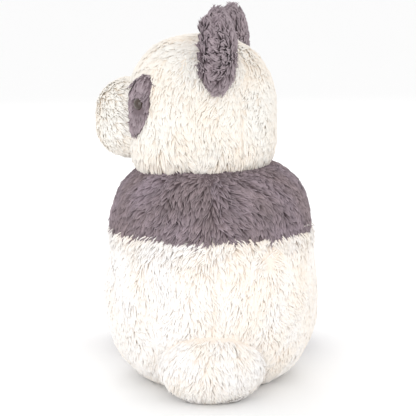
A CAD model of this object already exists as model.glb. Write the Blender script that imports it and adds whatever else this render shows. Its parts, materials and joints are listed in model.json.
import json
import math
import bpy
import numpy as np
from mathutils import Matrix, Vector
from mathutils.bvhtree import BVHTree


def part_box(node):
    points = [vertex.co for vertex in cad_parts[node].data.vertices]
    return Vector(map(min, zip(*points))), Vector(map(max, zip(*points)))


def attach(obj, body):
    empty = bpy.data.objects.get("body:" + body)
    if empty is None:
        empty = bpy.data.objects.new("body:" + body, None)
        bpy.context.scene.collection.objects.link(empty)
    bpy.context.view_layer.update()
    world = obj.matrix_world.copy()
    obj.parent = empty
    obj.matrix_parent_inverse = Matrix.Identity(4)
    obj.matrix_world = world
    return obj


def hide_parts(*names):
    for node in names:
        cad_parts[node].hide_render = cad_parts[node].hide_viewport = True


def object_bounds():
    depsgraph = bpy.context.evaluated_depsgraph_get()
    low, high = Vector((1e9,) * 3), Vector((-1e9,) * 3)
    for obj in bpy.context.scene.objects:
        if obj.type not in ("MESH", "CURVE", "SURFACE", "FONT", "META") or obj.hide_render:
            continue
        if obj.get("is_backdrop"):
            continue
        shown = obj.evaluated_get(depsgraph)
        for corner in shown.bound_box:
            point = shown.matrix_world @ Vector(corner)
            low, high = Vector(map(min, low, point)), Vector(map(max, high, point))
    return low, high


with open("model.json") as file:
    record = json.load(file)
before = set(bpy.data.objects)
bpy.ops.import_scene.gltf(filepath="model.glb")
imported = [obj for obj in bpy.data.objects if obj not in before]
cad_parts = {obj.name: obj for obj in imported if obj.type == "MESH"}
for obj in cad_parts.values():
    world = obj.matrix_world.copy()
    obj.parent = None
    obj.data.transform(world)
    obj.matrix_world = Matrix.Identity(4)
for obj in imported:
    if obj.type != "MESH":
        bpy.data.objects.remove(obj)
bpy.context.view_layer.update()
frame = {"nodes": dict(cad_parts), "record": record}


# ---------------------------------------------------------------- pale body panels
# Two back panels, a belly and a seat, cut from cream long-pile plush and sewn edge to edge.
# Each one is a thin felted backing with its pile standing in pointed locks that lie downwards.
body_members = frame["record"]["behaviour"]["bodies"]
body_of_node = {node: body for body, nodes in body_members.items() for node in nodes}
merge_within = 0.00002


def lean_copy(node, most=3500):
    """A merged and thinned copy of a CAD node's mesh, as points, vertex normals and triangles."""
    bpy.ops.object.select_all(action="DESELECT")
    copy = bpy.data.objects.new("lean_" + node, frame["nodes"][node].data.copy())
    bpy.context.scene.collection.objects.link(copy)
    bpy.context.view_layer.objects.active = copy
    copy.select_set(True)
    bpy.ops.object.mode_set(mode="EDIT")
    bpy.ops.mesh.select_all(action="SELECT")
    bpy.ops.mesh.remove_doubles(threshold=merge_within)
    bpy.ops.object.mode_set(mode="OBJECT")
    if len(copy.data.polygons) > most:
        thin = copy.modifiers.new("thin", "DECIMATE")
        thin.ratio = most / len(copy.data.polygons)
        bpy.ops.object.modifier_apply(modifier=thin.name)
    mesh = copy.data
    mesh.calc_loop_triangles()
    points = np.empty(len(mesh.vertices) * 3)
    mesh.vertices.foreach_get("co", points)
    normals = np.empty(len(mesh.vertices) * 3)
    mesh.vertices.foreach_get("normal", normals)
    faces = np.empty(len(mesh.loop_triangles) * 3, np.int32)
    mesh.loop_triangles.foreach_get("vertices", faces)
    bpy.data.objects.remove(copy)
    return points.reshape(-1, 3), normals.reshape(-1, 3), faces.reshape(-1, 3)


lean = {node: lean_copy(node) for node in frame["nodes"]}


def tree_of(nodes):
    """The lean skins of several nodes as one tree for finding the nearest place on them."""
    points, faces, base = [], [], 0
    for node in nodes:
        points.append(lean[node][0])
        faces.append(lean[node][2] + base)
        base += len(lean[node][0])
    return BVHTree.FromPolygons(
        np.concatenate(points).tolist(), np.concatenate(faces).tolist(), all_triangles=True
    )


def unit(v):
    return v / np.maximum(np.linalg.norm(v, axis=-1, keepdims=True), 1e-9)


def drift(points, size, seed):
    """A smooth wandering value of about -1 to 1 in space, with features of that size."""
    rng = np.random.default_rng(seed)
    pitch = size * 2.2
    waves = unit(rng.normal(size=(9, 3))) * rng.uniform(0.6, 1.5, (9, 1)) * 2 * math.pi / pitch
    phase = rng.uniform(0, 2 * math.pi, 9)
    return np.sin(points @ waves.T + phase).sum(1) / 3.0


def cell_key(points, size):
    """A whole number for the cube of that size which each point lies in."""
    cell = np.floor(points / size + 1000).astype(np.int64)
    return (cell[:, 0] * 4096 + cell[:, 1]) * 4096 + cell[:, 2]


# A root is tried a little above its skin. It is left out where a neighbouring panel of the same
# body covers it, and where a panel of another body is too near for a lock to stand.
trial_height, covered_within, bare_within = 0.0006, 0.012, 0.0022


def stand_on(node, spacing, seed, others, touching=None):
    """Evenly scattered roots on the outer face of a node, with their normals."""
    points, normals, faces = lean[node]
    rng = np.random.default_rng(seed)
    a, b, c = (points[faces[:, k]] for k in range(3))
    cross = np.cross(b - a, c - a)
    area = np.linalg.norm(cross, axis=1) / 2
    tries_per_root = 3.2
    count = int(area.sum() / spacing**2 * tries_per_root)
    pick = rng.choice(len(faces), count, p=area / area.sum())
    u, v = rng.random((2, count))
    fold = u + v > 1
    u[fold], v[fold] = 1 - u[fold], 1 - v[fold]
    w = 1 - u - v
    spots = a[pick] * w[:, None] + b[pick] * u[:, None] + c[pick] * v[:, None]
    flat = unit(cross[pick])
    soft = unit(sum(normals[faces[pick, k]] * s[:, None] for k, s in enumerate((w, u, v))))
    normal = np.where((soft * flat).sum(1)[:, None] > 0.8, soft, flat)
    first = np.unique(cell_key(spots, spacing), return_index=True)[1]
    spots, normal = spots[first], normal[first]
    keep = np.ones(len(spots), bool)
    for i, (p, n) in enumerate(zip(spots, normal)):
        trial = Vector(p + n * trial_height)
        near, face_normal, _, gap = others.find_nearest(trial)
        if near is not None and (trial - near).dot(face_normal) < 0 and gap < covered_within:
            keep[i] = False
        elif touching is not None:
            keep[i] = touching.find_nearest(trial)[3] > bare_within
    return spots[keep], normal[keep]


# A lock has three rings of three points and a tip: where the rings stand along it, and their
# widths. Its root starts below the skin.
ring_along = np.array([0.0, 0.42, 0.78])
ring_width = np.array([0.80, 1.0, 0.62])
lock_points, root_depth = 10, 0.0016


def lock_template():
    """Triangles of one closed three-sided lock, and their places in its own map cell."""
    faces, places = [], []
    v = [0.06, 0.45, 0.78, 0.97]
    edge = 0.02
    for ring in range(2):
        for k in range(3):
            j = (k + 1) % 3
            low, high = 3 * ring, 3 * ring + 3
            u0, u1 = k / 3 + edge, (k + 1) / 3 - edge
            faces += [(low + k, low + j, high + j), (low + k, high + j, high + k)]
            places += [
                ((u0, v[ring]), (u1, v[ring]), (u1, v[ring + 1])),
                ((u0, v[ring]), (u1, v[ring + 1]), (u0, v[ring + 1])),
            ]
    for k in range(3):
        j = (k + 1) % 3
        u0, u1 = k / 3 + edge, (k + 1) / 3 - edge
        faces.append((6 + k, 6 + j, 9))
        places.append(((u0, v[2]), (u1, v[2]), ((u0 + u1) / 2, v[3])))
    faces.append((0, 2, 1))
    places.append(((0.02, 0.0), (0.5, 0.05), (0.98, 0.0)))
    return np.array(faces), np.array(places)


lock_faces, lock_places = lock_template()
lock_underside = np.isin(np.arange(len(lock_faces)), (0, 1, 6, 7, 12, 15))


def grow_locks(roots, normals, lay, length, width, lift, clump, gather, seed):
    """Curved pointed locks. Returns points, smooth normals and each lock's clump number."""
    rng = np.random.default_rng(seed)
    count = len(roots)
    lay = unit(lay - normals * (lay * normals).sum(1)[:, None])
    turn = rng.normal(0, 0.16, count)
    side = np.cross(normals, lay)
    lay = unit(lay * np.cos(turn)[:, None] + side * np.sin(turn)[:, None])
    strayed = roots + 0.3 * clump * rng.normal(size=roots.shape)
    group = np.unique(cell_key(strayed, clump), return_inverse=True)[1].ravel()
    length = length * rng.uniform(0.78, 1.15, count)
    reach = 0.90
    tip = roots + lay * (length * reach)[:, None] + normals * (length * lift)[:, None]
    size = np.bincount(group)
    heart = np.stack([np.bincount(group, tip[:, k]) / size for k in range(3)], 1)[group]
    tip = tip + (heart - tip) * gather
    start = roots - normals * root_depth
    knee_height, knee_reach = length * (0.22 + 0.5 * lift), length * 0.28
    knee = roots + normals * knee_height[:, None] + lay * knee_reach[:, None]
    t = ring_along[None, :, None]
    line = start[:, None] * (1 - t) ** 2 + knee[:, None] * 2 * t * (1 - t) + tip[:, None] * t**2
    along = unit((knee - start)[:, None] * (1 - t) + (tip - knee)[:, None] * t)
    across = unit(np.cross(normals[:, None], along))
    up = unit(np.cross(along, across))
    half = (width * rng.uniform(0.7, 1.25, count))[:, None, None] * ring_width[None, :, None] / 2
    ring = np.stack([line - across * half, line + across * half, line + up * half * 0.95], 2)
    rounded = np.stack([unit(-across + up * 0.45), unit(across + up * 0.45), up], 2)
    points = np.concatenate([ring.reshape(count, 9, 3), tip[:, None]], 1)
    facing = np.concatenate([rounded.reshape(count, 9, 3), unit(normals + lay)[:, None]], 1)
    facing = unit(facing * 0.75 + normals[:, None] * 0.30)
    return points, facing, group


def panel_mesh(name, backing, locks, facing, shade, warm):
    """One mesh from a backing and its locks, with its colour values and its map cells."""
    base_points, base_faces = backing
    count = len(locks)
    points = np.concatenate([base_points, locks.reshape(-1, 3)])
    floor_gap = 0.0003
    points[:, 2] = np.maximum(points[:, 2], floor_gap)
    starts = np.arange(count) * lock_points + len(base_points)
    pile_faces = lock_faces[None] + starts[:, None, None]
    faces = np.concatenate([base_faces, pile_faces.reshape(-1, 3)])
    mesh = bpy.data.meshes.new(name)
    mesh.vertices.add(len(points))
    mesh.vertices.foreach_set("co", points.astype(np.float32).ravel())
    mesh.loops.add(len(faces) * 3)
    mesh.loops.foreach_set("vertex_index", faces.astype(np.int32).ravel())
    mesh.polygons.add(len(faces))
    mesh.polygons.foreach_set("loop_start", np.arange(0, len(faces) * 3, 3, dtype=np.int32))
    mesh.update(calc_edges=True)

    cells = len(base_faces) + count
    grid = math.ceil(math.sqrt(cells))
    corner = np.array([(0.06, 0.06), (0.94, 0.06), (0.06, 0.94)])
    at = np.stack([np.arange(cells) % grid, np.arange(cells) // grid], 1)
    margin = 0.08
    base_cells = (at[: len(base_faces), None] + corner[None]) / grid
    inset = margin + (1 - 2 * margin) * lock_places[None]
    pile_cells = (at[len(base_faces):, None, None] + inset) / grid
    bake = np.concatenate([base_cells.reshape(-1, 2), pile_cells.reshape(-1, 2)])
    layer = mesh.uv_layers.new(name="OFBake")
    layer.uv.foreach_set("vector", bake.astype(np.float32).ravel())

    rng = np.random.default_rng(count)
    offset = rng.uniform(0, 40, (count, 1, 1, 2))
    pile_strands = lock_places[None] * np.array([1.0, 0.5]) + offset
    base_strands = points[base_faces.reshape(-1)][:, :2] * 300
    strands = np.concatenate([base_strands, pile_strands.reshape(-1, 2)])
    layer = mesh.uv_layers.new(name="strands")
    layer.uv.foreach_set("vector", strands.astype(np.float32).ravel())
    mesh.uv_layers["OFBake"].active_render = True

    along = np.tile(np.concatenate([np.repeat(ring_along, 3), [1.0]]), count)
    values = {
        "along": (0.34, along),
        "shade": (0.5, np.repeat(shade, lock_points)),
        "warm": (0.6, np.repeat(warm, lock_points)),
    }
    for key, (on_base, on_pile) in values.items():
        value = np.concatenate([np.full(len(base_points), on_base), on_pile]).astype(np.float32)
        mesh.attributes.new(key, "FLOAT", "POINT").data.foreach_set("value", value)
    mesh.polygons.foreach_set("use_smooth", np.ones(len(faces), bool))

    # The backing keeps its own shading, the top of a lock is shaded round, its underside flat.
    corners = np.concatenate([np.zeros_like(base_points), facing.reshape(-1, 3)])[faces]
    a, b, c = (points[faces[:, k]] for k in range(3))
    flat = unit(np.cross(b - a, c - a))
    below = np.concatenate([np.zeros(len(base_faces), bool), np.tile(lock_underside, count)])
    corners[below] = flat[below][:, None]
    pile = slice(len(base_faces), None)
    corners[pile] = unit(corners[pile] * 0.6 + flat[pile, None] * 0.5)
    mesh.normals_split_custom_set(corners.reshape(-1, 3).astype(np.float32))
    piece = bpy.data.objects.new(name, mesh)
    bpy.context.scene.collection.objects.link(piece)
    return piece


def link(tree, a, out, b, into):
    tree.links.new(a.outputs[out], b.inputs[into])


def pile_material(name, cool, warm, sheen, low, high):
    """Plush pile: root, middle and tip colours, a warmer set, lock shades and fine strands."""
    material = bpy.data.materials.new(name)
    material.use_nodes = True
    tree = material.node_tree
    shader = tree.nodes["Principled BSDF"]
    shader.inputs["Roughness"].default_value = 0.88
    shader.inputs["Sheen Weight"].default_value = sheen
    shader.inputs["Sheen Roughness"].default_value = 0.45
    shader.inputs["Specular IOR Level"].default_value = 0.25
    value = {}
    for key in ("along", "shade", "warm"):
        value[key] = tree.nodes.new("ShaderNodeAttribute")
        value[key].attribute_name = key
    ramps = []
    for colours in (cool, warm):
        ramp = tree.nodes.new("ShaderNodeValToRGB")
        stops = ramp.color_ramp.elements
        stops.new(0.45)
        for stop, at, colour in zip(stops, (0.0, 0.38, 0.92), colours):
            stop.position = at
            stop.color = (*colour, 1)
        link(tree, value["along"], "Fac", ramp, "Fac")
        ramps.append(ramp)
    blend = tree.nodes.new("ShaderNodeMix")
    blend.data_type = "RGBA"
    colour_a, colour_b, mixed = 6, 7, 2
    link(tree, value["warm"], "Fac", blend, "Factor")
    link(tree, ramps[0], "Color", blend, colour_a)
    link(tree, ramps[1], "Color", blend, colour_b)
    place = tree.nodes.new("ShaderNodeUVMap")
    place.uv_map = "strands"
    stretch = tree.nodes.new("ShaderNodeMapping")
    stretch.inputs["Scale"].default_value = (14, 1.6, 1)
    link(tree, place, "UV", stretch, "Vector")
    strand = tree.nodes.new("ShaderNodeTexNoise")
    strand.inputs["Scale"].default_value = 1.0
    strand.inputs["Detail"].default_value = 2.0
    link(tree, stretch, "Vector", strand, "Vector")
    both = tree.nodes.new("ShaderNodeMath")
    both.operation = "MULTIPLY_ADD"
    both.inputs[1].default_value = 0.45
    link(tree, strand, "Fac", both, 0)
    link(tree, value["shade"], "Fac", both, 2)
    tone = tree.nodes.new("ShaderNodeMapRange")
    tone.inputs["From Min"].default_value = 0.0
    tone.inputs["From Max"].default_value = 1.3
    tone.inputs["To Min"].default_value = low
    tone.inputs["To Max"].default_value = high
    link(tree, both, "Value", tone, "Value")
    paint = tree.nodes.new("ShaderNodeVectorMath")
    paint.operation = "SCALE"
    link(tree, blend, mixed, paint, 0)
    link(tree, tone, "Result", paint, "Scale")
    link(tree, paint, "Vector", shader, "Base Color")
    bump = tree.nodes.new("ShaderNodeBump")
    bump.inputs["Strength"].default_value = 0.4
    bump.inputs["Distance"].default_value = 0.00006
    link(tree, strand, "Fac", bump, "Height")
    link(tree, bump, "Normal", shader, "Normal")
    return material


cream_pile = pile_material(
    "cream_pile",
    ((0.84, 0.72, 0.62), (0.925, 0.88, 0.84), (0.955, 0.94, 0.93)),
    ((0.82, 0.65, 0.50), (0.92, 0.82, 0.72), (0.95, 0.905, 0.845)),
    0.10, 0.93, 1.04,
)


# Near a stitched line the locks lean away from it, and near a seam they sink and darken a little.
stitch_reach, stitch_clear, stitch_push = 0.006, 0.0019, 2.0
seam_reach, seam_sink = 0.004, 0.0007
lock_drop = 0.0008


def plush_panel(node, spacing, length, width, lay, material, slot, seed, lift=0.28,
                clump=0.0056, gather=0.70, tone=None, hug=None, sewn_to=(), grade=None,
                keep_off=None, under=0.0009):
    """Grows one plush panel over its CAD node and hands it to that node's body.

    lay gives the way the pile lies, lift how far it stands, clump and gather its tufts. tone and
    grade vary its warmth and length. hug is the skin of another body that it rests against,
    sewn_to the panels with a seam to fade, keep_off a stitched line, and under the backing's
    height over the node's skin.
    """
    body = body_of_node[node]
    others = tree_of([n for n in body_members[body] if n != node])
    roots, normals = stand_on(node, spacing, seed, others, hug)
    direction = unit(lay(roots, normals))
    size = length * (1 + 0.12 * drift(roots, 0.02, seed + 1))
    if grade is not None:
        size = size * grade(roots)
    if keep_off is not None:
        gap = np.linalg.norm(roots[:, None] - keep_off[None], axis=2)
        nearest = gap.argmin(1)
        gap = gap.min(1)
        push = np.clip(1 - gap / stitch_reach, 0, 1)[:, None]
        direction = unit(direction + unit(roots - keep_off[nearest]) * push * stitch_push)
        clear = gap > stitch_clear
        roots, normals, direction, size = (v[clear] for v in (roots, normals, direction, size))
    dark = np.zeros(len(roots))
    if sewn_to:
        seam = tree_of(sewn_to)
        away, close = np.zeros_like(roots), np.zeros(len(roots))
        for i, p in enumerate(roots):
            near, _, _, gap = seam.find_nearest(Vector(p))
            close[i] = max(0.0, 1 - gap / seam_reach)
            away[i] = p - np.array(near)
        wander = 0.05 + 0.40 * drift(roots, 0.012, seed + 6)
        direction = direction + unit(away) * (close * wander)[:, None]
        roots = roots - normals * (close**2 * seam_sink)[:, None]
        size = size * (1 - 0.10 * close)
        dark = close
    flatter_on_top = 0.45 if lift < 0.31 else 0.0
    stand = lift * (1 - flatter_on_top * np.clip(normals[:, 2], 0, 0.6))
    points, facing, group = grow_locks(
        roots - normals * lock_drop, normals, direction, size, width, stand, clump, gather, seed + 2
    )
    rng = np.random.default_rng(seed + 3)
    shared = rng.random(group.max() + 1)[group]
    patchy = 0.5 + 0.5 * drift(roots, 0.012, seed + 4)
    shade = 0.5 * shared + 0.3 * rng.random(len(roots)) + 0.2 * patchy
    shade = shade - 0.10 * dark
    warm = tone(roots) if tone else 0.5 + 0.4 * drift(roots, 0.018, seed + 5)
    warm = np.clip(warm + 0.15 * rng.normal(size=len(roots)) + 0.15 * dark, 0, 1)
    base_points, base_normals, base_faces = lean[node]
    backing = (base_points + base_normals * under, base_faces)
    piece = panel_mesh(node + "_pile", backing, points, facing, shade, warm)
    piece.data.materials.append(material)
    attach(piece, body)
    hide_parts(node)
    return piece


def sway(lay, points, normals, *waves):
    """Turns the lay a little to either side, by waves of a given strength, size and seed."""
    amount = sum(strength * drift(points, size, seed) for strength, size, seed in waves)
    return lay + np.cross(normals, lay) * amount[:, None]


def down(points, normals):
    """Pile stroked downwards, spreading from the middle of the back, with one small whorl."""
    lay = np.zeros_like(points)
    lay[:, 2] = -1.0
    x = points[:, 0]
    lay[:, 0] = x / (np.abs(x) + 0.004) * 0.30 * np.exp(-np.abs(x) / 0.030)
    lay = sway(lay, points, normals, (0.45, 0.020, 11), (0.30, 0.008, 12))
    whorl, whorl_size = np.array([-0.046, 0.068, 0.111]), 0.013
    out = points - whorl
    near = np.exp(-((np.linalg.norm(out, axis=1) / whorl_size) ** 2))
    return lay * (1 - 0.8 * near)[:, None] + unit(out) * (1.2 * near)[:, None]


def body_tone(points):
    """Warmer towards the right side of the body."""
    return 0.45 - points[:, 0] / 0.085 * 0.28 + 0.35 * drift(points, 0.016, 21)


for side, other, seed in (("left", "right", 100), ("right", "left", 120)):
    plush_panel(f"back_panel_{side}", 0.00150, 0.0118, 0.0018, down, cream_pile, "cream_plush",
                seed, tone=body_tone, sewn_to=(f"back_panel_{other}",))
plush_panel("belly_panel", 0.0018, 0.0112, 0.0022, down, cream_pile, "cream_plush", 140,
            tone=body_tone, sewn_to=("back_panel_left", "back_panel_right"))


def outward(points, normals):
    """Pile pressed flat under the toy, lying away from the middle."""
    lay = points.copy()
    lay[:, 2] = 0
    return lay


pressed_lift, pressed_under = 0.05, -0.0006
plush_panel("seat_panel", 0.0026, 0.0040, 0.0022, outward, cream_pile, "cream_plush", 160,
            lift=pressed_lift, under=pressed_under)


# ---------------------------------------------------------------- shoulder yoke and chest
# Grey-brown plush over both shoulders and across the chest, sewn to the pale panels below.
# The pile fans out from the neck and its ends hang over the colour line.
taupe_pile = pile_material(
    "taupe_pile",
    ((0.035, 0.023, 0.028), (0.150, 0.112, 0.130), (0.345, 0.282, 0.318)),
    ((0.035, 0.022, 0.022), (0.142, 0.104, 0.108), (0.315, 0.252, 0.265)),
    0.15, 0.50, 1.34,
)


def fan(points, normals):
    """Pile that runs down and out over the shoulders, flatter near the neck."""
    lay = np.zeros_like(points)
    lay[:, 2] = -0.8
    high = np.clip((points[:, 2] - 0.115) / 0.06, 0, 1)
    x = points[:, 0]
    lay[:, 0] = x / (np.abs(x) + 0.012) * (0.25 + 0.65 * high)
    return sway(lay, points, normals, (0.40, 0.018, 31), (0.35, 0.007, 32))


def short_at_neck(points):
    """Half-length pile under the head, so that the head can turn over it."""
    return 1 - 0.5 * np.clip((points[:, 2] - 0.166) / 0.008, 0, 1)


neck_ring = tree_of(["head_base"])
dark_lift = 0.36
yoke_tufts = dict(lift=dark_lift, clump=0.0050, gather=0.74, hug=neck_ring, grade=short_at_neck)
for side, other, seed in (("left", "right", 200), ("right", "left", 220)):
    plush_panel(f"yoke_{side}", 0.00148, 0.0125, 0.0018, fan, taupe_pile, "taupe_plush", seed,
                sewn_to=(f"yoke_{other}",), **yoke_tufts)
plush_panel("chest_panel", 0.0018, 0.0115, 0.0021, fan, taupe_pile, "taupe_plush", 240,
            **yoke_tufts)


# ---------------------------------------------------------------- head panels
# Cream plush sides, a gusset over the crown and a back panel, gathered on a round base.
# The pile falls from the crown and ends in a fringe over the neck.
turn = math.radians(82.0)
head_spin = np.array([
    [math.cos(turn), -math.sin(turn), 0],
    [math.sin(turn), math.cos(turn), 0],
    [0, 0, 1],
])
head_pile = pile_material(
    "head_pile",
    ((0.76, 0.65, 0.54), (0.87, 0.83, 0.77), (0.91, 0.89, 0.85)),
    ((0.76, 0.60, 0.46), (0.88, 0.78, 0.67), (0.91, 0.86, 0.79)),
    0.10, 0.92, 1.05,
)


def crown_fall(points, normals):
    """Pile that falls from the crown and parts to both sides of the head."""
    own = points @ head_spin
    lay = np.zeros_like(own)
    lay[:, 2] = -1.0
    lay[:, 1] = np.clip((own[:, 2] - 0.235) / 0.04, 0, 1) * -0.4
    lay[:, 0] = np.sign(own[:, 0]) * 0.15
    return sway(lay @ head_spin.T, points, normals, (0.45, 0.018, 41), (0.35, 0.007, 42))


def fringe(points):
    """Longer pile towards the lower edge of the head."""
    return 1 + 0.85 * np.clip((0.200 - points[:, 2]) / 0.018, 0, 1)


head_sides, middle_panels = ("head_side_left", "head_side_right"), ("head_gusset", "head_back")
head_jobs = (
    ("head_side_left", 0.00150, middle_panels, 300),
    ("head_side_right", 0.00165, middle_panels, 320),
    ("head_gusset", 0.00155, head_sides, 340),
    ("head_back", 0.00155, head_sides, 360),
)
for node, spacing, seams, seed in head_jobs:
    plush_panel(node, spacing, 0.0112, 0.0018, crown_fall, head_pile, "cream_plush", seed,
                lift=0.29, sewn_to=seams, grade=fringe)
plush_panel("head_base", 0.0030, 0.0030, 0.0020, outward, head_pile, "cream_plush", 380,
            lift=pressed_lift, under=pressed_under)


# ---------------------------------------------------------------- muzzle
# A short stuffed snout cut from cream plush and sewn to the front of the head.
# Its pile is brushed back from the nose and parts along the stitched mouth.
nose_low, nose_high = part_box("nose")
nose_middle = np.array((nose_low + nose_high) / 2)


def from_nose(points, normals):
    """Pile brushed away from the nose, drooping a little."""
    droop = np.array([0, 0, -0.012])
    return sway(points - nose_middle, points, normals, (0.3, 0.010, 51)) + droop


def in_head(x, y, z):
    """A place given in the head's own frame (face towards -Y), in the shared frame."""
    return head_spin @ np.array([x, y, z])


neck = 0.1758
snout_low = neck + 0.0075
smile_heart, smile_radius = snout_low + 0.0264, 0.0128
smile_top = snout_low + 0.0320
bend = np.radians(np.linspace(-152, -28, 15))
mouth_lines = [
    [(smile_radius * math.cos(a), smile_heart + smile_radius * math.sin(a)) for a in bend],
    [(0.0, z) for z in np.linspace(smile_heart - smile_radius, smile_top, 10)],
]
muzzle_tree = tree_of(["muzzle_cover"])
facing_back = Vector(in_head(0, 1, 0))


def on_muzzle(x, z):
    """The place on the front of the muzzle at that width and height."""
    return np.array(muzzle_tree.ray_cast(Vector(in_head(x, -0.2, z)), facing_back)[0])


mouth_paths = [np.array([on_muzzle(x, z) for x, z in row]) for row in mouth_lines]
plush_panel("muzzle_cover", 0.00150, 0.0088, 0.0018, from_nose, head_pile, "cream_plush", 400,
            lift=0.32, under=0.0007, keep_off=np.concatenate(mouth_paths))


# ---------------------------------------------------------------- nose
# A moulded plastic nose with two nostrils and a pebbled skin.
# It is pushed through the plush at the tip of the muzzle and stands a little proud of it.
def plastic(name, colour, rough, grain, relief):
    """Moulded plastic: a mottled colour and a fine grained skin."""
    material = bpy.data.materials.new(name)
    material.use_nodes = True
    tree = material.node_tree
    shader = tree.nodes["Principled BSDF"]
    shader.inputs["Roughness"].default_value = rough
    place = tree.nodes.new("ShaderNodeTexCoord")
    mottle = tree.nodes.new("ShaderNodeTexNoise")
    mottle.inputs["Scale"].default_value = grain * 0.3
    mottle.inputs["Detail"].default_value = 4.0
    link(tree, place, "Object", mottle, "Vector")
    ramp = tree.nodes.new("ShaderNodeValToRGB")
    ramp.color_ramp.elements[0].position = 0.30
    ramp.color_ramp.elements[0].color = (*(c * 0.72 for c in colour), 1)
    ramp.color_ramp.elements[1].position = 0.72
    ramp.color_ramp.elements[1].color = (*colour, 1)
    link(tree, mottle, "Fac", ramp, "Fac")
    link(tree, ramp, "Color", shader, "Base Color")
    pebble = tree.nodes.new("ShaderNodeTexVoronoi")
    pebble.inputs["Scale"].default_value = grain
    link(tree, place, "Object", pebble, "Vector")
    bump = tree.nodes.new("ShaderNodeBump")
    bump.inputs["Strength"].default_value = relief
    bump.inputs["Distance"].default_value = 0.0002
    link(tree, pebble, "Distance", bump, "Height")
    link(tree, bump, "Normal", shader, "Normal")
    return material


def ball(name, rings, around):
    """A round mesh of radius 1, as an object with its points, ready to be shaped."""
    bpy.ops.object.select_all(action="DESELECT")
    bpy.ops.mesh.primitive_uv_sphere_add(segments=around, ring_count=rings, radius=1)
    piece = bpy.context.object
    piece.name = name
    bpy.ops.object.shade_smooth()
    points = np.empty(len(piece.data.vertices) * 3)
    piece.data.vertices.foreach_get("co", points)
    return piece, points.reshape(-1, 3)


def reshape(piece, points):
    """Moves every point of a piece's mesh to a new place."""
    piece.data.vertices.foreach_set("co", points.astype(np.float32).ravel())
    piece.data.update()


nose_skin = plastic("nose_skin", (0.030, 0.024, 0.024), 0.42, 1600, 0.55)
nose, form = ball("nose_moulding", 32, 48)
nose_half, nose_depth, nose_tall = 0.0108, 0.0056, 0.0070
nostril_out, nostril_down, nostril_radius, nostril_depth = 0.0046, 0.0014, 0.0021, 0.0016
high = form[:, 2].copy()
form[:, 0] *= nose_half * (1 + 0.28 * high - 0.12 * high**2)
form[:, 1] *= nose_depth
form[:, 2] = high * nose_tall - 0.0012 * np.abs(form[:, 0] / nose_half) ** 2
for hole in (-1, 1):
    gap = np.hypot(form[:, 0] - hole * nostril_out, form[:, 2] + nostril_down) / nostril_radius
    form[:, 1] += np.where(form[:, 1] < 0, nostril_depth * np.exp(-gap**2), 0)
form += np.array([0, -0.008 - 0.083 + 0.0022, snout_low + 0.0384])
reshape(nose, form @ head_spin.T)
nose.data.materials.append(nose_skin)
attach(nose, "head")
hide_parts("nose")


# ---------------------------------------------------------------- mouth
# Three-ply embroidery thread, stitched down the snout and along a short smile.
# The plies are twisted round each other and lie just proud of the plush.
def rope(name, paths, ply, radius, pitch, sides=6):
    """Twisted strands laid along paths, each strand a closed tube."""
    points, faces = [], []
    step = 0.0004
    for path, outward_of in paths:
        legs = np.linalg.norm(np.diff(path, axis=0), axis=1)
        run = np.concatenate([[0], np.cumsum(legs)])
        at = np.linspace(0, run[-1], max(8, int(run[-1] / step)))
        line = np.stack([np.interp(at, run, path[:, k]) for k in range(3)], 1)
        along = unit(np.gradient(line, axis=0))
        up = unit(outward_of(line))
        across = unit(np.cross(along, up))
        up = np.cross(across, along)
        for strand in range(ply):
            phase = 2 * math.pi * (at / pitch + strand / ply)[:, None]
            heart = line + (across * np.cos(phase) + up * np.sin(phase)) * radius * 0.9
            base = sum(len(p) for p in points)
            for k in range(sides):
                a = 2 * math.pi * k / sides
                points.append(heart + (across * math.cos(a) + up * math.sin(a)) * radius)
            n = len(at)
            for k in range(sides):
                j = (k + 1) % sides
                faces += [
                    (base + k * n + i, base + k * n + i + 1, base + j * n + i + 1, base + j * n + i)
                    for i in range(n - 1)
                ]
            faces.append([base + k * n for k in range(sides)])
            faces.append([base + k * n + n - 1 for k in reversed(range(sides))])
    mesh = bpy.data.meshes.new(name)
    mesh.from_pydata(np.concatenate(points).tolist(), [], faces)
    mesh.polygons.foreach_set("use_smooth", np.ones(len(faces), bool))
    piece = bpy.data.objects.new(name, mesh)
    bpy.context.scene.collection.objects.link(piece)
    bpy.ops.object.select_all(action="DESELECT")
    bpy.context.view_layer.objects.active = piece
    piece.select_set(True)
    bpy.ops.object.mode_set(mode="EDIT")
    bpy.ops.mesh.select_all(action="SELECT")
    bpy.ops.mesh.normals_make_consistent(inside=False)
    bpy.ops.object.mode_set(mode="OBJECT")
    return piece


muzzle_heart = in_head(0, -0.058, snout_low + 0.030)
thread_height, ply_radius, ply_pitch = 0.0008, 0.00048, 0.0026
proud = [path + unit(path - muzzle_heart) * thread_height for path in mouth_paths]
thread_paint = plastic("thread_paint", (0.060, 0.045, 0.046), 0.75, 2600, 0.9)
threads = [(path, lambda line: line - muzzle_heart) for path in proud]
mouth = rope("mouth_thread", threads, 3, ply_radius, ply_pitch)
mouth.data.materials.append(thread_paint)
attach(mouth, "head")
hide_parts("mouth_stitch")


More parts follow.
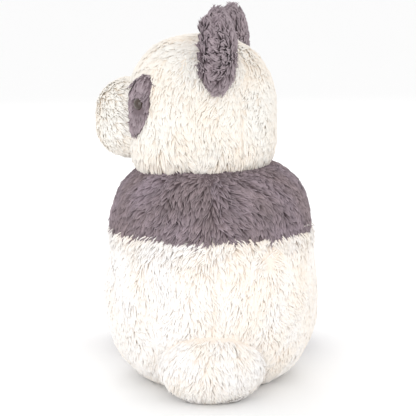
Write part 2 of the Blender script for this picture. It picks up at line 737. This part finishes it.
# ---------------------------------------------------------------- eyes
# Domed safety eyes: a glossy bead with a collar on a ribbed shank that goes through the panel
# and the stuffing side washer that locks it.
def turned(name, profile, heart, axis, around=40):
    """A closed piece spun from (radius, distance along the axis) points."""
    heart, axis = Vector(heart), Vector(axis).normalized()
    side = axis.cross(Vector((0, 0, 1))).normalized()
    mesh = bpy.data.meshes.new(name)
    spots = [heart + axis * along + side * radius for radius, along in profile]
    mesh.from_pydata(spots, [(i, i + 1) for i in range(len(spots) - 1)], [])
    piece = bpy.data.objects.new(name, mesh)
    bpy.context.scene.collection.objects.link(piece)
    bpy.ops.object.select_all(action="DESELECT")
    bpy.context.view_layer.objects.active = piece
    piece.select_set(True)
    bpy.ops.object.mode_set(mode="EDIT")
    bpy.ops.mesh.select_all(action="SELECT")
    bpy.ops.mesh.spin(steps=around, angle=2 * math.pi, center=heart, axis=axis)
    bpy.ops.mesh.select_all(action="SELECT")
    bpy.ops.mesh.remove_doubles(threshold=merge_within)
    bpy.ops.mesh.normals_make_consistent(inside=False)
    bpy.ops.object.mode_set(mode="OBJECT")
    bpy.ops.object.shade_smooth_by_angle(angle=math.radians(35))
    return piece


eye_gloss = plastic("eye_gloss", (0.050, 0.026, 0.016), 0.08, 500, 0.04)
eye_gloss.node_tree.nodes["Principled BSDF"].inputs["Coat Weight"].default_value = 0.6
washer_paint = plastic("washer_paint", (0.82, 0.82, 0.80), 0.45, 900, 0.35)
bead, eye_turn, pile_clear = 0.0055, math.radians(45.0), 0.0042
head_radius, panel_thick, eye_sink = 0.985 * 0.0585, 0.003, 0.0009
eye_look, eye_heart, eye_rim = {}, {}, {}
for side, sign in (("left", 1), ("right", -1)):
    look = in_head(sign * math.sin(eye_turn), -math.cos(eye_turn), 0)
    across = unit(np.cross(look, (0, 0, 1)))
    middle = in_head(0, -0.008, neck + 0.0525) + look * (head_radius + panel_thick - eye_sink)
    eye_look[side], eye_heart[side] = look, middle
    eye_rim[side] = np.array([
        middle + (across * math.cos(a) + np.array([0, 0, math.sin(a)])) * pile_clear
        for a in np.radians(np.arange(0, 360, 30))
    ])
dome = [(0.0, bead)]
dome += [(bead * math.sin(a), bead * math.cos(a)) for a in np.radians(range(12, 85, 12))]
dome += [(bead * 1.03, 0.0002), (bead * 1.03, -0.0004)]
dome += [(bead * 0.90, -0.0009), (bead * 0.5, -0.0012)]
rib_pitch, rib_radius, shank_radius, shank_end = 0.0016, 0.0017, 0.0014, -0.0160
ribs = []
for k in range(9):
    z = -0.0016 - rib_pitch * k
    ribs += [(rib_radius, z), (rib_radius, z - 0.0008)]
    ribs += [(shank_radius, z - 0.0010), (shank_radius, z - 0.0014)]
eye_profile = dome + ribs + [(0.0, shank_end)]
for side in ("left", "right"):
    eye = turned(f"eye_{side}_bead", eye_profile, eye_heart[side], eye_look[side])
    eye.data.materials.append(eye_gloss)
    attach(eye, "head")
    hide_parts(f"eye_{side}")
    washer = frame["nodes"][f"eye_washer_{side}"].data
    washer.materials.clear()
    washer.materials.append(washer_paint)


# ---------------------------------------------------------------- eye patches
# Drooping grey-brown plush patches, one round each eye, laid on the sides of the face and
# stitched down at the edge. The pile stands clear of the bead.
ear_pile = pile_material(
    "ear_pile",
    ((0.055, 0.036, 0.042), (0.18, 0.135, 0.152), (0.37, 0.300, 0.33)),
    ((0.065, 0.044, 0.048), (0.21, 0.160, 0.175), (0.42, 0.350, 0.375)),
    0.15, 0.56, 1.28,
)
for side, seed in (("left", 420), ("right", 430)):
    plush_panel(f"eye_patch_{side}", 0.00145, 0.0085, 0.0020, crown_fall, ear_pile,
                "taupe_plush", seed, lift=dark_lift, keep_off=eye_rim[side])


# ---------------------------------------------------------------- ears
# Two cupped grey-brown plush panels an ear, sewn together round the rim and to the head at
# the root. The pile runs from the root to the rim on both faces.
ear_lift = 0.46
for side, seed in (("left", 500), ("right", 540)):
    low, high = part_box(f"ear_{side}_front")
    back_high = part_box(f"ear_{side}_back")[1]
    root = np.array([
        (low.x + back_high.x) / 2, (low.y + high.y) / 2, low.z + 0.44 * (high.z - low.z)
    ])

    def to_rim(points, normals, root=root):
        return sway(unit(points - root), points, normals, (0.35, 0.008, 61))

    for face, length, face_seed, warmth in (("front", 0.0095, seed, 0.15),
                                            ("back", 0.0100, seed + 20, 0.75)):
        plush_panel(f"ear_{side}_{face}", 0.00145, length, 0.0020, to_rim, ear_pile,
                    "taupe_plush", face_seed, lift=ear_lift,
                    tone=lambda points, warmth=warmth: np.full(len(points), warmth))


# ---------------------------------------------------------------- arms
# Soft stuffed arms in grey-brown plush, sewn at the front of the shoulders. The pile runs
# down to the paw and is left out where an arm rests on the body.
torso_tree = tree_of([
    "belly_panel", "chest_panel", "back_panel_left", "back_panel_right", "yoke_left", "yoke_right"
])
for side, sign, seed in (("left", 1, 600), ("right", -1, 620)):
    def to_paw(points, normals, way=np.array([-0.10 * sign, -0.766, -0.643])):
        return sway(np.tile(way, (len(points), 1)), points, normals, (0.35, 0.010, 71))

    plush_panel(f"arm_{side}_cover", 0.00185, 0.0082, 0.0023, to_paw, taupe_pile, "taupe_plush",
                seed, hug=torso_tree, lift=dark_lift)


# ---------------------------------------------------------------- legs and soles
# Short stuffed legs laid forward on the floor, each closed by a flat sole of clipped plush.
# The pile runs along the leg to the foot, and straight down on the sole.
def sole_lay(points, normals):
    return np.tile(np.array([0.0, 0.0, -1.0]), (len(points), 1))


for side, sign, seed in (("left", 1, 640), ("right", -1, 670)):
    def to_foot(points, normals, way=np.array([0.208 * sign, -0.978, -0.15])):
        return sway(np.tile(way, (len(points), 1)), points, normals, (0.35, 0.010, 72))

    plush_panel(f"leg_{side}_cover", 0.0020, 0.0082, 0.0025, to_foot, taupe_pile, "taupe_plush",
                seed, hug=torso_tree, lift=dark_lift)
    plush_panel(f"leg_{side}_sole", 0.0016, 0.0044, 0.0018, sole_lay, taupe_pile, "taupe_plush",
                seed + 10, lift=dark_lift, under=-0.0004)


# ---------------------------------------------------------------- tail
# A round stuffed tail in cream plush, sewn to the back along its top edge.
# Its pile sprays out from the middle of its root.
def spray(points, normals):
    tail_root = np.array([0.0, 0.066, 0.052])
    return sway(unit(points - tail_root), points, normals, (0.25, 0.010, 81))


plush_panel("tail_cover", 0.00145, 0.0120, 0.0018, spray, cream_pile, "cream_plush", 700,
            lift=0.27, hug=torso_tree, tone=lambda p: 0.35 + 0.3 * drift(p, 0.012, 82))


# ---------------------------------------------------------------- stuffing
# Loose polyester wadding packed into the body, head, muzzle, arms, legs and tail.
# It is what the covers are filled with, so it stays just inside them.
def soft_copy(node, name, cell, depth, lump, size, seed):
    """An even, lumpy copy of a CAD node that stays inside the node's own skin."""
    bpy.ops.object.select_all(action="DESELECT")
    piece = bpy.data.objects.new(name, frame["nodes"][node].data.copy())
    bpy.context.scene.collection.objects.link(piece)
    bpy.context.view_layer.objects.active = piece
    piece.select_set(True)
    piece.data.materials.clear()
    even = piece.modifiers.new("even", "REMESH")
    even.mode = "VOXEL"
    even.voxel_size = cell
    even.use_smooth_shade = True
    bpy.ops.object.modifier_apply(modifier=even.name)
    count = len(piece.data.vertices)
    points, normals = np.empty(count * 3), np.empty(count * 3)
    piece.data.vertices.foreach_get("co", points)
    piece.data.vertices.foreach_get("normal", normals)
    points, normals = points.reshape(-1, 3), normals.reshape(-1, 3)
    wave = 0.5 + 0.5 * drift(points, size, seed) * 0.8 + 0.15 * drift(points, size * 0.4, seed + 1)
    reshape(piece, points - normals * (depth + lump * np.clip(wave, 0, 1.2))[:, None])
    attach(piece, body_of_node[node])
    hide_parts(node)
    return piece


def fibre_material(name, pale, deep, grain, relief):
    """Matted fibres: two scales of stretched noise for colour and for relief."""
    material = bpy.data.materials.new(name)
    material.use_nodes = True
    tree = material.node_tree
    shader = tree.nodes["Principled BSDF"]
    shader.inputs["Roughness"].default_value = 0.95
    place = tree.nodes.new("ShaderNodeTexCoord")
    mat = tree.nodes.new("ShaderNodeTexNoise")
    mat.inputs["Scale"].default_value = grain
    mat.inputs["Detail"].default_value = 6.0
    mat.inputs["Distortion"].default_value = 2.2
    link(tree, place, "Object", mat, "Vector")
    ramp = tree.nodes.new("ShaderNodeValToRGB")
    ramp.color_ramp.elements[0].position = 0.35
    ramp.color_ramp.elements[0].color = (*deep, 1)
    ramp.color_ramp.elements[1].position = 0.65
    ramp.color_ramp.elements[1].color = (*pale, 1)
    link(tree, mat, "Fac", ramp, "Fac")
    link(tree, ramp, "Color", shader, "Base Color")
    bump = tree.nodes.new("ShaderNodeBump")
    bump.inputs["Strength"].default_value = relief
    bump.inputs["Distance"].default_value = 0.0006
    link(tree, mat, "Fac", bump, "Height")
    link(tree, bump, "Normal", shader, "Normal")
    return material


wadding = fibre_material("wadding", (0.93, 0.93, 0.92), (0.78, 0.78, 0.77), 260, 0.9)
skin_gap, lump_depth, lump_size = 0.0001, 0.0009, 0.007
for place, cell, seed in (
    ("body", 0.0030, 800), ("head", 0.0025, 810), ("muzzle", 0.0018, 820),
    ("arm_left", 0.0018, 830), ("arm_right", 0.0018, 840),
    ("leg_left", 0.0020, 850), ("leg_right", 0.0020, 860), ("tail", 0.0018, 870),
):
    piece = soft_copy(
        f"{place}_stuffing", f"{place}_wadding", cell, skin_gap, lump_depth, lump_size, seed
    )
    piece.data.materials.append(wadding)


# ---------------------------------------------------------------- pellet pouch
# A cotton pouch of round plastic pellets low in the body, which weights the seat.
# The heap is a lumpy core with loose pellets all over its face.
pouch_cloth = fibre_material("pouch_cloth", (0.86, 0.84, 0.78), (0.70, 0.67, 0.60), 900, 0.6)
pouch = soft_copy("pellet_pouch", "pouch_cloth_bag", 0.0006, 0.0, 0.00015, 0.009, 900)
pouch.data.materials.append(pouch_cloth)

pellet_skin = plastic("pellet_skin", (0.80, 0.80, 0.78), 0.35, 700, 0.2)
core = soft_copy("pellet_fill", "pellet_heap", 0.0020, 0.0014, 0.0002, 0.008, 910)
heap = np.empty(len(core.data.vertices) * 3)
core.data.vertices.foreach_get("co", heap)
heap = heap.reshape(-1, 3)
rng = np.random.default_rng(911)
grain_gap, smallest_grain, largest_grain = 0.0034, 0.0013, 0.0018
kept = []
for i in rng.permutation(len(heap)):
    if not kept or np.min(np.linalg.norm(heap[kept] - heap[i], axis=1)) > grain_gap:
        kept.append(i)
grains, template = ball("grain", 6, 8)
corners = [tuple(face.vertices) for face in grains.data.polygons]
bpy.data.objects.remove(grains)
radii = rng.uniform(smallest_grain, largest_grain, (len(kept), 1, 1))
beads = heap[kept][:, None] + template[None] * radii
all_faces = [
    tuple(c + b * len(template) for c in face) for b in range(len(kept)) for face in corners
]
mesh = bpy.data.meshes.new("grains")
mesh.from_pydata(beads.reshape(-1, 3).tolist(), [], all_faces)
mesh.polygons.foreach_set("use_smooth", np.ones(len(all_faces), bool))
grains = bpy.data.objects.new("grains", mesh)
bpy.context.scene.collection.objects.link(grains)
bpy.ops.object.select_all(action="DESELECT")
grains.select_set(True)
core.select_set(True)
bpy.context.view_layer.objects.active = core
bpy.ops.object.join()
core.data.materials.clear()
core.data.materials.append(pellet_skin)


# ---------------------------------------------------------------- neck joint
# Two moulded discs, one in the head and one under the shoulders, on one shaft that a toothed
# lock washer holds. The modelled solids are used as they are.
joint_paint = plastic("joint_paint", (0.74, 0.74, 0.72), 0.42, 800, 0.35)
for node in ("neck_disc_body", "neck_disc_head", "neck_lock_washer"):
    frame["nodes"][node].data.materials.clear()
    frame["nodes"][node].data.materials.append(joint_paint)


# ---------------------------------------------------------------- light, floor and camera
# A pale floor under soft, even light from all round, with three large lamps.
# The camera looks at the back of the toy from a little above.
world = bpy.data.worlds.new("studio")
bpy.context.scene.world = world
world.use_nodes = True
backdrop = world.node_tree.nodes["Background"]
backdrop.inputs["Color"].default_value = (1.0, 1.0, 1.0, 1)
backdrop.inputs["Strength"].default_value = 1.0
bpy.context.scene.view_settings.view_transform = "Standard"

bpy.ops.object.select_all(action="DESELECT")
bpy.ops.mesh.primitive_plane_add(size=90, location=(0, 0, -0.0002))
floor = bpy.context.object
floor.name = "floor"
floor_paint = bpy.data.materials.new("floor_paint")
floor_paint.use_nodes = True
floor_shader = floor_paint.node_tree.nodes["Principled BSDF"]
floor_shader.inputs["Base Color"].default_value = (0.97, 0.97, 0.97, 1)
floor_shader.inputs["Roughness"].default_value = 0.9
floor.data.materials.append(floor_paint)
floor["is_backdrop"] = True


def soft_light(name, place, size, watts):
    """A large square lamp turned towards the toy."""
    data = bpy.data.lights.new(name, "AREA")
    data.size = size
    data.energy = watts
    lamp = bpy.data.objects.new(name, data)
    bpy.context.scene.collection.objects.link(lamp)
    lamp.location = place
    aim = Vector((0, 0, 0.15)) - Vector(place)
    lamp.rotation_euler = aim.to_track_quat("-Z", "Y").to_euler()


soft_light("key", (0.45, 1.6, 0.50), 1.2, 6.5)
soft_light("fill", (-0.8, 1.5, 0.55), 1.4, 2)
soft_light("front", (0.2, -1.4, 1.2), 1.2, 8)

rise, far = math.radians(10), 1.2
seen_width = 0.34112
aim = Vector((0.0025, 0.0, 0.139))
camera = bpy.data.objects.new("camera", bpy.data.cameras.new("camera"))
bpy.context.scene.collection.objects.link(camera)
camera.location = aim + Vector((0, math.cos(rise), math.sin(rise))) * far
camera.rotation_euler = (aim - camera.location).to_track_quat("-Z", "Y").to_euler()
camera.data.lens = camera.data.sensor_width * far / seen_width
bpy.context.scene.camera = camera

low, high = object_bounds()
